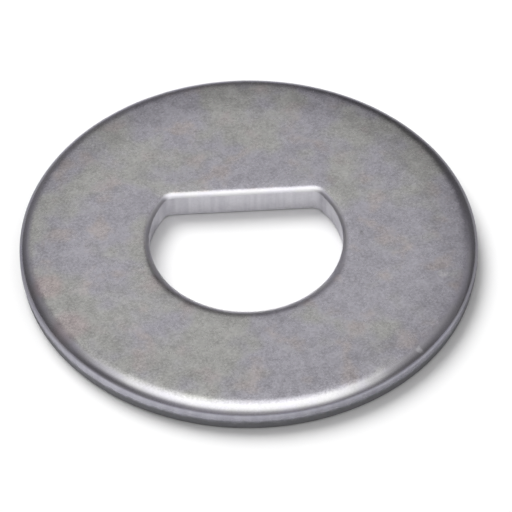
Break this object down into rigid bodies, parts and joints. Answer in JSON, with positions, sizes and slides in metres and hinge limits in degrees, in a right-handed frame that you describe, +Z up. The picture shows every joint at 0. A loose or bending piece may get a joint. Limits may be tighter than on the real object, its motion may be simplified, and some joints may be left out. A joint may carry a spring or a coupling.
{
  "type": "spindle washer",
  "caption": "Round stamped steel washer with a D-shaped hole that keys it to the flatted end of a wheel spindle.",
  "frame": {"origin": "on the axis of the hole's round part, in the plane of the lower face", "axes": "+Z up along the hole's axis, out of the face with the rolled edges; +Y from the axis towards the hole's flat"},
  "size_m": [0.054, 0.054, 0.0035],
  "materials": {
    "plated_steel": "satin, tumbled and zinc plated"
  },
  "bodies": {
    "root": {"washer": "plated_steel"}
  },
  "joints": []
}
